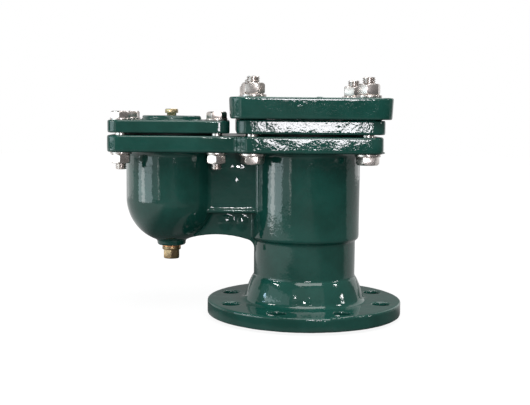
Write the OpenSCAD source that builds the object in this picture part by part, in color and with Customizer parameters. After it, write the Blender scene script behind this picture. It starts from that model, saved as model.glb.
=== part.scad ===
// Double-orifice air release valve with a DN 100 flanged inlet.
// A large ball closes a wide orifice once the pipe has filled. A small ball in the side bowl
// opens and shuts a fine nozzle, which lets out the air that gathers while the pipe runs.
// Origin: centre of the inlet flange's raised face. +Z is up, and the side bowl lies towards -X.

/* [Inlet flange] */
// Bore of the inlet
inlet_d = 100; // [94:1:106]
// Outside diameter of the flange
flange_d = 220; // [210:1:236]
// Thickness of the flange with its raised face
flange_t = 19; // [16:0.5:24]
// Diameter of the raised sealing face
raised_face_d = 156; // [140:1:158]
// Height of the raised sealing face
raised_face_h = 3; // [2:0.5:4]
// Distance of the bolt circle from the flange's edge
flange_hole_edge = 20; // [17:0.5:22]
// Diameter of one flange bolt hole
flange_hole_d = 19; // [14:0.5:20]
// Number of flange bolt holes
flange_holes = 8; // [4:4:8]

/* [Column] */
// Wall of the column
column_wall = 7.5; // [6.5:0.5:9]
// How much wider in radius the float chamber is than the inlet
chamber_step = 4; // [2:0.5:6]
// Height of the shoulder under the float chamber
shoulder_z = 88; // [80:1:92]
// Height of the tapered hub above the flange
hub_h = 26; // [20:1:34]
// How far the hub flares out at its foot
hub_flare = 10; // [6:0.5:12]
// Height and width of the lip at the top of the hub
hub_lip = 1.5; // [1:0.25:2.5]
// Fillet where the hub meets the flange
hub_fillet_r = 6; // [3:0.5:7]
// Fillet of the castings where two walls meet
casting_fillet_r = 5; // [3:0.5:6]

/* [Body plate] */
// Height of the machined top of the body
body_h = 205; // [200:1:215]
// Thickness of the body plate
plate_t = 18; // [14:0.5:20]
// Bolt pitch over the large chamber
large_pitch = 123; // [120:1:130]
// Bolt pitch over the small chamber
small_pitch = 102; // [100:1:106]
// Width of the body plate outside the large bolts
large_edge = 16.5; // [15:0.5:18]
// Width of the body plate outside the small bolts
small_edge = 14.5; // [13.5:0.5:15]
// Corner radius of the large plates
large_corner_r = 14; // [10:1:16]
// Corner radius of the small plates
small_corner_r = 12; // [9:1:14]
// Rounding of the plates' edges
plate_edge_r = 1.5; // [1:0.5:3.5]

/* [Small chamber] */
// Distance between the two chambers' axes
chamber_spacing = 151; // [149:1:158]
// Bore of the small chamber
bowl_bore = 88; // [84:1:90]
// Wall of the small chamber
bowl_wall = 6.5; // [6:0.5:8]
// Depth of the straight part of the bowl below the body's top
bowl_straight = 71; // [66:0.5:76]
// Diameter of the drain boss
drain_boss_d = 32; // [28:1:36]
// How far the drain boss stands below the bowl
drain_boss_drop = 3.2; // [2:0.2:6]

/* [Duct and arch] */
// Width of the duct between the chambers
duct_w = 55; // [48:1:60]
// Height of the duct below the body plate
duct_h = 66; // [60:1:68]
// Rounding of the duct's lower edges
duct_edge_r = 4; // [2:0.5:6]
// Wall of the duct
duct_wall = 8; // [6:0.5:10]
// Thickness of the web below the duct
web_t = 26; // [20:1:30]
// Height of the arch's crown above the drain boss
arch_rise = 12.8; // [8:0.1:16]
// Radius of the arch
arch_r = 115; // [100:5:160]
// Fillet at the foot of the arch
arch_foot_r = 12; // [8:1:14]

/* [Covers] */
// Thickness of the large gasket
large_gasket_t = 2.5; // [1.5:0.5:5]
// Width of the large gasket ring
large_gasket_w = 14; // [10:1:16]
// Thickness of the orifice cover
orifice_cover_t = 15; // [12:0.5:18]
// How far the orifice cover stands out past the plate below it
orifice_cover_over = 1.2; // [0:0.2:2]
// Thickness of the small gasket
small_gasket_t = 2.5; // [1.5:0.5:5]
// Width of the small gasket ring
small_gasket_w = 12; // [8:1:14]
// Thickness of the nozzle cover
nozzle_cover_t = 13.5; // [10:0.5:16]
// How much narrower the nozzle cover is than the plate below it
nozzle_cover_inset = 0.5; // [0:0.25:2]
// Diameter of the round pad on the nozzle cover
pad_d = 66; // [56:1:70]
// Height of the round pad
pad_h = 4.7; // [3:0.1:7]
// How far the cowl stands out past the orifice cover
cowl_overhang = 6.5; // [4:0.5:9]
// Height of the cowl's skirt
cowl_h = 23; // [19:0.5:30]
// How much the cowl widens from its rim to its top
cowl_draft = 1; // [0:0.1:2]
// Corner radius of the cowl
cowl_corner_r = 16; // [12:1:18]
// Wall of the cowl's skirt
cowl_wall = 4.5; // [4:0.25:5.5]
// Thickness of the cowl's top
cowl_top_t = 8; // [6:0.5:10]
// Air slit below the cowl's skirt
air_slit = 1; // [0.5:0.25:3]
// Diameter of the cowl's bolt bosses
cowl_boss_d = 30; // [26:1:32]

/* [Large orifice] */
// Clear diameter of the large orifice
orifice_d = 72; // [64:1:74]
// Width of the rubber seat ring
seat_w = 10; // [8:0.5:12]
// Thickness of the rubber seat ring
seat_t = 6; // [5:0.5:8]
// How far the seat ring stands below the orifice cover
seat_proud = 2.5; // [1.5:0.25:3]
// Width of the land that the ball closes on
seat_land = 2; // [1:0.25:3]
// How much the seat ring widens inside the cover, so that it stays in
seat_undercut = 1; // [0.5:0.25:1.5]
// Space around the large ball for the air
float_gap = 9; // [8:0.5:10]
// Travel of the large ball
float_lift = 38; // [30:1:40]
// Wall of the large ball, a hollow steel shell
float_wall = 1.2; // [0.8:0.1:2]

/* [Small orifice] */
// Space around the small ball
small_float_gap = 10; // [9:0.5:12]
// Travel of the small ball
small_float_lift = 16; // [10:1:20]
// Wall of the small ball, a hollow rubber shell
small_float_wall = 3; // [2:0.25:5]
// Hole through the nozzle
nozzle_hole_d = 2.4; // [1.6:0.2:3.2]
// Diameter of the nozzle's tip
nozzle_tip_d = 9.6; // [7:0.2:10]
// Shank of the nozzle
nozzle_shank_d = 10.5; // [8:0.5:11]
// Hex of the nozzle's head, across flats
nozzle_af = 13; // [12:0.5:16]
// Height of the nozzle's head
nozzle_head_h = 4.7; // [3:0.1:7]
// Bare neck between the pad and the nozzle's head
nozzle_neck_h = 2.9; // [1:0.1:5]
// How far the nozzle's tip reaches below the body's top
nozzle_tip_drop = 0.5; // [0:0.25:3]

/* [Drain plug] */
// Diameter of the plug's thread
plug_thread_d = 16.6; // [12:0.2:18]
// Length of the plug's thread
plug_thread_l = 12.5; // [11:0.5:14]
// Diameter of the plug's collar and of its washer
plug_collar_d = 21; // [20:0.5:26]
// Thickness of the plug's collar
plug_collar_t = 3.3; // [2:0.1:5]
// Thickness of the copper sealing washer
plug_washer_t = 2; // [1:0.25:3]
// Hex of the plug, across flats
plug_af = 17; // [14:0.5:19]
// Height of the plug's hex
plug_hex_h = 10.2; // [8:0.2:14]

/* [Float guides] */
// Room between a ball and its guide ribs
guide_gap = 2; // [1:0.25:3]
// Thickness of a guide rib
rib_t = 8; // [5:0.5:10]
// How far a rib reaches under its ball, as a share of the ball's radius
cradle_reach = 0.38; // [0.3:0.02:0.5]

/* [Large bolts] */
// Bolt diameter
large_bolt_d = 14; // [12:1:16]
// Hex across flats
large_af = 22; // [20:1:24]
// Height of a bolt head
large_head_h = 9; // [7:0.5:11]
// Height of a nut
large_nut_h = 12; // [9:0.5:14]
// Diameter of a washer
large_washer_d = 28; // [26:1:29]
// Thickness of a washer
large_washer_t = 3; // [2:0.25:4]
// Bolt end past the nut
large_tail = 7; // [3:0.5:12]

/* [Small bolts] */
// Bolt diameter
small_bolt_d = 12; // [10:1:13]
// Hex across flats
small_af = 19; // [17:1:20]
// Height of a bolt head
small_head_h = 7.5; // [6:0.5:9]
// Height of a nut
small_nut_h = 10; // [8:0.5:12]
// Diameter of a washer
small_washer_d = 23; // [21:0.5:24]
// Thickness of a washer
small_washer_t = 2; // [1.5:0.25:3]
// Bolt end past the nut
small_tail = 6.5; // [3:0.5:10]

/* [Hidden] */
$fn = 96;

// Clearances and overlaps
slip = 0.05; // radial room of a piece that turns or slides in its hole
bolt_room = 0.5; // radial room of a bolt in its hole
seat_gap = 0.3; // room between a ball and what stops it
lap = 1; // overlap of pieces of one casting
hair = 0.01; // overlap of two faces that would coincide
flange_edge_r = 1.5;
hex_chamfer = 0.12; // height of a hex's chamfer as a share of its width
thread_chamfer = 1.5;

// Heights
plate_z = body_h - plate_t;
hub_top_z = flange_t + hub_h;
orifice_cover_z = body_h + large_gasket_t;
cowl_seat_z = orifice_cover_z + orifice_cover_t;
cowl_rim_z = cowl_seat_z + air_slit;
cowl_top_z = cowl_rim_z + cowl_h;
nozzle_cover_z = body_h + small_gasket_t;
nozzle_cover_top_z = nozzle_cover_z + nozzle_cover_t;
pad_top_z = nozzle_cover_top_z + pad_h;
duct_z = plate_z - duct_h;

// Column
flange_pcd = flange_d - 2 * flange_hole_edge;
inlet_r = inlet_d / 2;
lower_r = inlet_r + column_wall;
chamber_r = inlet_r + chamber_step;
upper_r = chamber_r + column_wall;
hub_top_r = lower_r + hub_lip;
hub_base_r = hub_top_r + hub_flare;

// Bowl
bowl_x = -chamber_spacing;
bowl_in_r = bowl_bore / 2;
bowl_r = bowl_in_r + bowl_wall;
bowl_centre_z = body_h - bowl_straight;
drain_z = bowl_centre_z - bowl_r - drain_boss_drop;
drain_boss_r = drain_boss_d / 2;
arch_z = drain_z + arch_rise;
// The body is one casting. It is drawn as a column, a bowl and a plate, which meet at flat faces:
// the plate lies on the other two, and these two share the duct half way between their walls.
duct_middle_x = (bowl_x + bowl_r - upper_r) / 2;

// Plates
large_w = large_pitch + 2 * large_edge;
small_w = small_pitch + 2 * small_edge;
nozzle_cover_w = small_w - 2 * nozzle_cover_inset;
orifice_cover_w = large_w + 2 * orifice_cover_over;
cowl_w = orifice_cover_w + 2 * cowl_overhang;

// Large ball: its seat ring hangs under the orifice cover, and its cradle is a lift lower
float_r = chamber_r - float_gap;
orifice_r = orifice_d / 2;
seat_z = orifice_cover_z - seat_proud;
float_closed_z = seat_z - sqrt(pow(float_r, 2) - pow(orifice_r + seat_land, 2)) - seat_gap;
float_z = float_closed_z - float_lift;

// Small ball: the nozzle's tip stops it
small_float_r = bowl_in_r - small_float_gap;
nozzle_tip_z = body_h - nozzle_tip_drop;
small_float_z = nozzle_tip_z - seat_gap - small_float_r - small_float_lift;

// Drain plug
plug_collar_top_z = drain_z - plug_washer_t;
plug_hex_top_z = plug_collar_top_z - plug_collar_t;

corners = [[1, 1], [-1, 1], [-1, -1], [1, -1]];
// How far each hex happens to be turned, in degrees, in the order of the corners
large_head_turns = [10, 20, -8, 0];
large_nut_turns = [25, 5, -12, 12];
small_head_turns = [12, 18, 27, 0];
small_nut_turns = [8, 22, 30, 28];
nozzle_turn = 15;
plug_turn = 30;

green = "#1d4d3f";
steel = "#b9b4ae";
brass = "#b08d45";
copper = "#b5713c";
rubber = "#1b1b1b";

// Outline of a plate's rim: its outer edge is rounded, and widens by draft towards the top.
module rim_profile(r, t, edge_r, draft = 0) {
    polygon([
        [0, 0], [r - edge_r, 0], [r, edge_r],
        [r + draft, t - edge_r], [r + draft - edge_r, t], [0, t]
    ]);
    translate([r - edge_r, edge_r]) circle(r = edge_r);
    translate([r + draft - edge_r, t - edge_r]) circle(r = edge_r);
}

// A plate of size [x, y] and thickness t, with round corners and rounded edges, standing on z = 0.
module rounded_plate(size, t, corner_r, edge_r, draft = 0) {
    core = [size.x - 2 * corner_r, size.y - 2 * corner_r];
    translate([-core.x / 2, -core.y / 2, 0]) cube([core.x, core.y, t]);
    for (i = [0:3])
        translate([corners[i].x * core.x / 2, corners[i].y * core.y / 2, 0])
            rotate(90 * i)
                rotate_extrude(angle = 90) rim_profile(corner_r, t, edge_r, draft);
    for (turn = [0, 180]) {
        rotate(turn) translate([core.x / 2, core.y / 2, 0])
            rotate([90, 0, 0]) linear_extrude(core.y) rim_profile(corner_r, t, edge_r, draft);
        rotate(turn + 90) translate([core.y / 2, core.x / 2, 0])
            rotate([90, 0, 0]) linear_extrude(core.x) rim_profile(corner_r, t, edge_r, draft);
    }
}

// Fills an inner corner of a profile with a fillet. The open side lies between two directions.
module corner_fillet(corner, from, to, r) {
    half = (to - from) / 2;
    middle = [cos(from + half), sin(from + half)];
    reach = r / tan(half);
    centre = corner + r / sin(half) * middle;
    difference() {
        polygon([
            corner - lap * middle,
            corner + reach * [cos(from), sin(from)],
            centre,
            corner + reach * [cos(to), sin(to)]
        ]);
        translate(centre) circle(r = r);
    }
}

// Puts its children at the four bolts of a cover.
module at_bolts(pitch, x = 0) {
    for (c = corners) translate([x + c.x * pitch / 2, c.y * pitch / 2, 0]) children();
}

module bolt_holes(pitch, d, x = 0) {
    at_bolts(pitch, x) translate([0, 0, drain_z]) cylinder(d = d + 2 * bolt_room, h = 2 * body_h);
}

// A hex with the corners of one or both ends turned off.
module hex(af, h, chamfer_bottom = false) {
    corner_r = af / 2 / cos(30);
    cut = hex_chamfer * af;
    foot_r = chamfer_bottom ? af / 2 : corner_r;
    intersection() {
        cylinder(r = corner_r, h = h, $fn = 6);
        rotate_extrude() polygon([
            [0, 0], [foot_r, 0], [corner_r + hair, cut], [corner_r + hair, h - cut], [af / 2, h], [0, h]
        ]);
    }
}

module washer(d, hole_d, t) {
    difference() {
        cylinder(d = d, h = t);
        translate([0, 0, -lap]) cylinder(d = hole_d, h = t + 2 * lap);
    }
}

// A bolt shank from z = 0 up, with its end chamfered.
module shank(d, l) {
    rotate_extrude() polygon([
        [0, 0], [d / 2, 0], [d / 2, l - thread_chamfer], [d / 2 - thread_chamfer, l], [0, l]
    ]);
}

module nut(af, d, h) {
    difference() {
        hex(af, h, true);
        translate([0, 0, -lap]) cylinder(d = d, h = h + 2 * lap);
    }
}

// Fillet at the top of a round wall, under the plate.
module plate_fillet(wall_r) {
    intersection() {
        corner_fillet([wall_r, plate_z], -90, 0, casting_fillet_r);
        square([wall_r + 2 * casting_fillet_r, plate_z]);
    }
}

// Flange, hub and column, as a profile of radius and height.
module column_profile() {
    hub_slope = 90 + atan2(hub_flare, hub_h);
    square([raised_face_d / 2, raised_face_h + lap]);
    translate([0, raised_face_h]) rim_profile(flange_d / 2, flange_t - raised_face_h, flange_edge_r);
    polygon([
        [0, flange_t - lap], [hub_base_r, flange_t - lap], [hub_base_r, flange_t],
        [hub_top_r, hub_top_z], [lower_r, hub_top_z + hub_lip], [0, hub_top_z + hub_lip]
    ]);
    corner_fillet([hub_base_r, flange_t], 0, hub_slope, hub_fillet_r);
    square([lower_r, shoulder_z + chamber_step]);
    translate([lower_r, shoulder_z + chamber_step]) circle(r = chamber_step);
    translate([0, shoulder_z + chamber_step]) square([upper_r, plate_z - shoulder_z - chamber_step]);
    plate_fillet(upper_r);
}

module column_cavity_profile() {
    polygon([
        [0, -lap], [inlet_r, -lap], [inlet_r, shoulder_z],
        [chamber_r, shoulder_z + 2 * chamber_step], [chamber_r, body_h + lap], [0, body_h + lap]
    ]);
}

// Bowl with its drain boss, as a profile of radius and height.
module bowl_profile() {
    boss_top_z = bowl_centre_z - sqrt(pow(bowl_r, 2) - pow(drain_boss_r, 2)) + lap;
    intersection() {
        translate([0, bowl_centre_z]) circle(r = bowl_r);
        translate([0, bowl_centre_z - bowl_r]) square(bowl_r);
    }
    translate([0, bowl_centre_z]) square([bowl_r, plate_z - bowl_centre_z]);
    polygon([
        [0, drain_z], [drain_boss_r - thread_chamfer, drain_z], [drain_boss_r, drain_z + thread_chamfer],
        [drain_boss_r, boss_top_z], [0, boss_top_z]
    ]);
    plate_fillet(bowl_r);
}

module bowl_cavity_profile() {
    intersection() {
        translate([0, bowl_centre_z]) circle(r = bowl_in_r);
        translate([0, bowl_centre_z - bowl_in_r]) square(bowl_in_r);
    }
    translate([0, bowl_centre_z]) square([bowl_in_r, body_h + lap - bowl_centre_z]);
    translate([0, drain_z - lap]) square([plug_thread_d / 2 + slip, bowl_centre_z - drain_z]);
}

// Section of the duct, as a profile of Y and height.
module duct_profile() {
    half_w = duct_w / 2;
    translate([-half_w + duct_edge_r, duct_z]) square([duct_w - 2 * duct_edge_r, plate_z - duct_z]);
    translate([-half_w, duct_z + duct_edge_r]) square([duct_w, plate_z - duct_z - duct_edge_r]);
    for (side = [-1, 1])
        translate([side * (half_w - duct_edge_r), duct_z + duct_edge_r]) circle(r = duct_edge_r);
}

// Section of the web below the duct, as a profile of Y and height.
module web_profile() {
    translate([-web_t / 2, arch_z - arch_r / 2]) square([web_t, duct_z + lap - arch_z + arch_r / 2]);
    corner_fillet([web_t / 2, duct_z], -90, 0, casting_fillet_r);
    corner_fillet([-web_t / 2, duct_z], 180, 270, casting_fillet_r);
}

// Turns a profile of Y and height into a bar from one X to another.
module along_x(from, to) {
    translate([from, 0, 0]) rotate([90, 0, 90]) linear_extrude(to - from) children();
}

// Fillet, seen from above, between a round wall on the origin and the duct that leaves it towards +X.
module plan_fillet(wall_r) {
    half_w = duct_w / 2;
    centre = [
        sqrt(pow(wall_r + casting_fillet_r, 2) - pow(half_w + casting_fillet_r, 2)),
        half_w + casting_fillet_r
    ];
    difference() {
        polygon([
            [centre.x, half_w], centre,
            centre * wall_r / (wall_r + casting_fillet_r),
            [sqrt(pow(wall_r, 2) - pow(half_w, 2)) - lap, half_w - lap]
        ]);
        translate(centre) circle(r = casting_fillet_r);
    }
}

// Duct and web between the two chambers, from one X to another. The web starts beside the drain boss.
module duct(from, to) {
    arch_x = bowl_x + bowl_r;
    arch_centre_z = arch_z - arch_r;
    foot_x = -lower_r - arch_foot_r;
    foot_z = arch_centre_z + sqrt(pow(arch_r, 2) - pow(foot_x - arch_x, 2)) - arch_foot_r;
    along_x(from, to) duct_profile();
    difference() {
        along_x(max(from, bowl_x + drain_boss_r), to) web_profile();
        translate([arch_x, 0, arch_centre_z]) rotate([90, 0, 0])
            cylinder(r = arch_r, h = duct_w, center = true, $fn = 240);
    }
    if (to > foot_x)
        difference() {
            translate([foot_x, -web_t / 2, foot_z]) cube([arch_foot_r + column_wall, web_t, arch_foot_r + lap]);
            translate([foot_x, 0, foot_z]) rotate([90, 0, 0]) cylinder(r = arch_foot_r, h = duct_w, center = true);
        }
}

// Fillets, on both sides of the duct, where it leaves a round wall on the origin towards +X.
module duct_fillets(wall_r) {
    foot_z = duct_z + duct_edge_r;
    for (side = [0, 1])
        mirror([0, side, 0]) translate([0, 0, foot_z]) linear_extrude(plate_z - foot_z) plan_fillet(wall_r);
}

// The way through the duct for water and air.
module duct_port() {
    port_w = duct_w - 2 * duct_wall;
    port_h = duct_h - 2 * duct_wall;
    from = bowl_x + sqrt(pow(bowl_in_r, 2) - pow(port_w / 2, 2)) - lap;
    to = lap - sqrt(pow(chamber_r, 2) - pow(port_w / 2, 2));
    along_x(from, to) translate([-port_w / 2, duct_z + duct_wall]) {
        translate([duct_wall, 0]) square([port_w - 2 * duct_wall, port_h]);
        translate([0, duct_wall]) square([port_w, port_h - 2 * duct_wall]);
        for (x = [duct_wall, port_w - duct_wall], z = [duct_wall, port_h - duct_wall])
            translate([x, z]) circle(r = duct_wall);
    }
}

// Ribs that hold a ball at rest and keep it under its seat as it rises.
module guide_ribs(wall_r, ball_r, ball_z, top_z) {
    cradle_r = cradle_reach * ball_r;
    foot_z = ball_z - ball_r + (ball_r - sqrt(pow(ball_r, 2) - pow(cradle_r, 2)));
    guide_r = ball_r + guide_gap;
    for (turn = [45:90:315])
        rotate(turn) rotate([90, 0, 0]) translate([0, 0, -rib_t / 2]) linear_extrude(rib_t) {
            difference() {
                polygon([
                    [cradle_r, ball_z], [cradle_r, foot_z - rib_t / 2],
                    [wall_r + lap, foot_z - rib_t], [wall_r + lap, ball_z]
                ]);
                translate([0, ball_z]) circle(r = ball_r + seat_gap);
            }
            polygon([
                [guide_r, ball_z - lap], [guide_r, top_z - wall_r + guide_r],
                [wall_r, top_z], [wall_r + lap, top_z], [wall_r + lap, ball_z - lap]
            ]);
        }
}

// Inlet flange, hub and large chamber, with the near half of the duct.
module column() {
    color(green) {
        difference() {
            union() {
                rotate_extrude() column_profile();
                duct(duct_middle_x, 0);
                mirror([1, 0, 0]) duct_fillets(upper_r);
            }
            rotate_extrude() column_cavity_profile();
            duct_port();
            for (i = [0 : flange_holes - 1])
                rotate(180 / flange_holes + i * 360 / flange_holes)
                    translate([flange_pcd / 2, 0, -lap]) cylinder(d = flange_hole_d, h = flange_t + 2 * lap);
        }
        guide_ribs(chamber_r, float_r, float_z, plate_z);
    }
}

// Small chamber with its drain boss and the far half of the duct.
module bowl() {
    color(green) {
        difference() {
            union() {
                translate([bowl_x, 0, 0]) rotate_extrude() bowl_profile();
                duct(bowl_x, duct_middle_x);
                translate([bowl_x, 0, 0]) duct_fillets(bowl_r);
            }
            translate([bowl_x, 0, 0]) rotate_extrude() bowl_cavity_profile();
            duct_port();
        }
        translate([bowl_x, 0, 0]) guide_ribs(bowl_in_r, small_float_r, small_float_z, plate_z);
    }
}

// Top plate of the body: a wide square over the column and a narrower one that reaches out over the bowl.
module body_plate() {
    small_l = chamber_spacing + small_w / 2;
    color(green) difference() {
        translate([0, 0, plate_z]) {
            rounded_plate([large_w, large_w], plate_t, large_corner_r, plate_edge_r);
            translate([-small_l / 2, 0, 0])
                rounded_plate([small_l, small_w], plate_t, small_corner_r, plate_edge_r);
            for (side = [0, 1])
                mirror([0, side, 0])
                    translate([-large_w / 2 - casting_fillet_r, small_w / 2 + casting_fillet_r, 0])
                        rotate(-90) rotate_extrude(angle = 90)
                            translate([2 * casting_fillet_r, 0]) mirror([1, 0])
                                rim_profile(casting_fillet_r, plate_t, plate_edge_r);
        }
        translate([0, 0, plate_z - lap]) cylinder(r = chamber_r, h = plate_t + 2 * lap);
        translate([bowl_x, 0, plate_z - lap]) cylinder(r = bowl_in_r, h = plate_t + 2 * lap);
        bolt_holes(large_pitch, large_bolt_d);
        bolt_holes(small_pitch, small_bolt_d, bowl_x);
    }
}

// Section of the seat ring. Its outer wall widens upwards, so that it snaps into the cover.
module seat_profile(room = 0) {
    top_z = seat_z + seat_t;
    outer_r = orifice_r + seat_w;
    polygon([
        [orifice_r, seat_z], [outer_r + room, seat_z],
        [outer_r + room, orifice_cover_z], [outer_r + room + seat_undercut, top_z], [orifice_r, top_z]
    ]);
}

module orifice_cover() {
    color(green) difference() {
        translate([0, 0, orifice_cover_z])
            rounded_plate([orifice_cover_w, orifice_cover_w], orifice_cover_t, large_corner_r,
                plate_edge_r);
        translate([0, 0, seat_z]) cylinder(r = orifice_r + seat_land, h = 2 * orifice_cover_t);
        rotate_extrude() seat_profile(slip);
        bolt_holes(large_pitch, large_bolt_d);
    }
}

module seat_ring() {
    color(rubber) difference() {
        rotate_extrude() seat_profile();
        translate([0, 0, float_closed_z]) sphere(r = float_r + seat_gap);
    }
}

// Hood over the large orifice. It stands on four bosses, and the air leaves below its skirt.
module cowl() {
    inner_w = cowl_w - 2 * cowl_wall;
    hollow_h = cowl_h - cowl_top_t;
    color(green) difference() {
        union() {
            difference() {
                translate([0, 0, cowl_rim_z])
                    rounded_plate([cowl_w, cowl_w], cowl_h, cowl_corner_r, plate_edge_r, cowl_draft);
                translate([0, 0, cowl_rim_z - plate_edge_r])
                    rounded_plate([inner_w, inner_w], hollow_h + plate_edge_r,
                        cowl_corner_r - cowl_wall, plate_edge_r);
            }
            at_bolts(large_pitch) translate([0, 0, cowl_seat_z])
                cylinder(d = cowl_boss_d, h = air_slit + hollow_h + lap);
        }
        bolt_holes(large_pitch, large_bolt_d);
    }
}

module nozzle_cover() {
    color(green) difference() {
        translate([bowl_x, 0, 0]) {
            translate([0, 0, nozzle_cover_z])
                rounded_plate([nozzle_cover_w, nozzle_cover_w], nozzle_cover_t, small_corner_r, plate_edge_r);
            translate([0, 0, nozzle_cover_top_z - lap]) cylinder(d = pad_d, h = pad_h + lap - plate_edge_r);
            translate([0, 0, pad_top_z - plate_edge_r])
                cylinder(d1 = pad_d, d2 = pad_d - 2 * plate_edge_r, h = plate_edge_r);
        }
        translate([bowl_x, 0, body_h]) cylinder(d = nozzle_shank_d + 2 * slip, h = body_h);
        bolt_holes(small_pitch, small_bolt_d, bowl_x);
    }
}

module large_gasket() {
    color(rubber) translate([0, 0, body_h])
        washer(2 * (chamber_r + large_gasket_w), 2 * chamber_r, large_gasket_t);
}

module small_gasket() {
    color(rubber) translate([bowl_x, 0, body_h])
        washer(2 * (bowl_in_r + small_gasket_w), 2 * bowl_in_r, small_gasket_t);
}

module hollow_ball(r, wall) {
    difference() {
        sphere(r = r);
        sphere(r = r - wall);
    }
}

module large_float() {
    color(steel) translate([0, 0, float_z]) hollow_ball(float_r, float_wall);
}

module small_float() {
    color(rubber) translate([bowl_x, 0, small_float_z]) hollow_ball(small_float_r, small_float_wall);
}

// Screwed nozzle: a hex head on a bare neck, a shank through the cover and a tapered tip above the ball.
module nozzle() {
    shank_r = nozzle_shank_d / 2;
    color(brass) difference() {
        translate([bowl_x, 0, 0]) {
            rotate_extrude() polygon([
                [0, nozzle_tip_z], [nozzle_tip_d / 2, nozzle_tip_z], [shank_r, nozzle_cover_z],
                [shank_r, pad_top_z + nozzle_neck_h + lap], [0, pad_top_z + nozzle_neck_h + lap]
            ]);
            translate([0, 0, pad_top_z + nozzle_neck_h]) rotate(nozzle_turn) hex(nozzle_af, nozzle_head_h);
        }
        translate([bowl_x, 0, nozzle_tip_z - lap]) cylinder(d = nozzle_hole_d, h = body_h);
    }
}

module drain_plug() {
    color(brass) translate([bowl_x, 0, 0]) {
        translate([0, 0, plug_collar_top_z - lap]) shank(plug_thread_d, plug_thread_l + lap);
        translate([0, 0, plug_hex_top_z]) cylinder(d = plug_collar_d, h = plug_collar_t);
        translate([0, 0, plug_hex_top_z]) mirror([0, 0, 1]) rotate(plug_turn) hex(plug_af, plug_hex_h);
    }
}

module drain_plug_washer() {
    color(copper) translate([bowl_x, 0, plug_collar_top_z])
        washer(plug_collar_d, plug_thread_d + 2 * slip, plug_washer_t);
}

// Large bolts stand with their heads below the body plate and their nuts on the cowl.
module large_bolts() {
    seat = plate_z - large_washer_t;
    end = cowl_top_z + large_washer_t + large_nut_h + large_tail;
    color(steel) for (i = [0:3])
        translate([corners[i].x * large_pitch / 2, corners[i].y * large_pitch / 2, seat]) {
            translate([0, 0, -lap]) shank(large_bolt_d, end - seat + lap);
            mirror([0, 0, 1]) rotate(large_head_turns[i]) hex(large_af, large_head_h);
        }
}

module large_head_washers() {
    color(steel) at_bolts(large_pitch) translate([0, 0, plate_z - large_washer_t])
        washer(large_washer_d, large_bolt_d + 2 * bolt_room, large_washer_t);
}

module large_nut_washers() {
    color(steel) at_bolts(large_pitch) translate([0, 0, cowl_top_z])
        washer(large_washer_d, large_bolt_d + 2 * bolt_room, large_washer_t);
}

module large_nuts() {
    color(steel) for (i = [0:3])
        translate([corners[i].x * large_pitch / 2, corners[i].y * large_pitch / 2, cowl_top_z + large_washer_t])
            rotate(large_nut_turns[i]) nut(large_af, large_bolt_d + 2 * slip, large_nut_h);
}

// Small bolts hang from the nozzle cover, with their nuts below the body plate.
module small_bolts() {
    seat = nozzle_cover_top_z + small_washer_t;
    end = plate_z - small_washer_t - small_nut_h - small_tail;
    color(steel) for (i = [0:3])
        translate([bowl_x + corners[i].x * small_pitch / 2, corners[i].y * small_pitch / 2, seat]) {
            mirror([0, 0, 1]) translate([0, 0, -lap]) shank(small_bolt_d, seat - end + lap);
            rotate(small_head_turns[i]) hex(small_af, small_head_h);
        }
}

module small_head_washers() {
    color(steel) at_bolts(small_pitch, bowl_x) translate([0, 0, nozzle_cover_top_z])
        washer(small_washer_d, small_bolt_d + 2 * bolt_room, small_washer_t);
}

module small_nut_washers() {
    color(steel) at_bolts(small_pitch, bowl_x) translate([0, 0, plate_z - small_washer_t])
        washer(small_washer_d, small_bolt_d + 2 * bolt_room, small_washer_t);
}

module small_nuts() {
    seat = plate_z - small_washer_t - small_nut_h;
    color(steel) for (i = [0:3])
        translate([bowl_x + corners[i].x * small_pitch / 2, corners[i].y * small_pitch / 2, seat])
            rotate(small_nut_turns[i]) nut(small_af, small_bolt_d + 2 * slip, small_nut_h);
}

column();
bowl();
body_plate();
orifice_cover();
cowl();
nozzle_cover();
large_gasket();
small_gasket();
seat_ring();
large_float();
small_float();
nozzle();
drain_plug();
drain_plug_washer();
large_bolts();
large_head_washers();
large_nut_washers();
large_nuts();
small_bolts();
small_head_washers();
small_nut_washers();
small_nuts();
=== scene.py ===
import math

import bpy
from mathutils import Matrix, Vector


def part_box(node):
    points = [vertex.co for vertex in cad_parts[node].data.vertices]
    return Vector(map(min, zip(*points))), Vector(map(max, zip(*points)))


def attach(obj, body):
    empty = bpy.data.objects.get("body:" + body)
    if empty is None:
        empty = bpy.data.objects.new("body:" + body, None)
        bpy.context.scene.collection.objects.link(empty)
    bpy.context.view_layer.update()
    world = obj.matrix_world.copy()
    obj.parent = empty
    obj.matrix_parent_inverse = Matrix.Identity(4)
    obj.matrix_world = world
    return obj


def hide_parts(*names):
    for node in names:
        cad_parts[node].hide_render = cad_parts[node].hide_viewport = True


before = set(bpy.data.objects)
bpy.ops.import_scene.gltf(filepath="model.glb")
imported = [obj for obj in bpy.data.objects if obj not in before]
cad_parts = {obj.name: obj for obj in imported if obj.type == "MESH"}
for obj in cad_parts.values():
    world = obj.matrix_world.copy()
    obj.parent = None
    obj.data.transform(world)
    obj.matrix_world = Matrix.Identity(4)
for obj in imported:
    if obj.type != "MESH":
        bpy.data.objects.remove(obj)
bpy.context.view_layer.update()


# Body: one iron sand casting, with inlet flange, hub, column, bowl, duct, arched web and top plate in one.
# It wears thick glossy enamel, which rounds its edges and lets the lumps of the sand mould show.
# Its inside is bored for the two float balls, and its gasket face and flange face are machined flat.
MM = 0.001
SOLID_MERGE = 0.005 * MM
NUB_ROUNDING = 0.3
LUMP_MIDDLE = 0.65


def pick(piece):
    """Makes a piece the only selected one, and the active one."""
    bpy.ops.object.select_all(action="DESELECT")
    piece.select_set(True)
    bpy.context.view_layer.objects.active = piece


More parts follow.
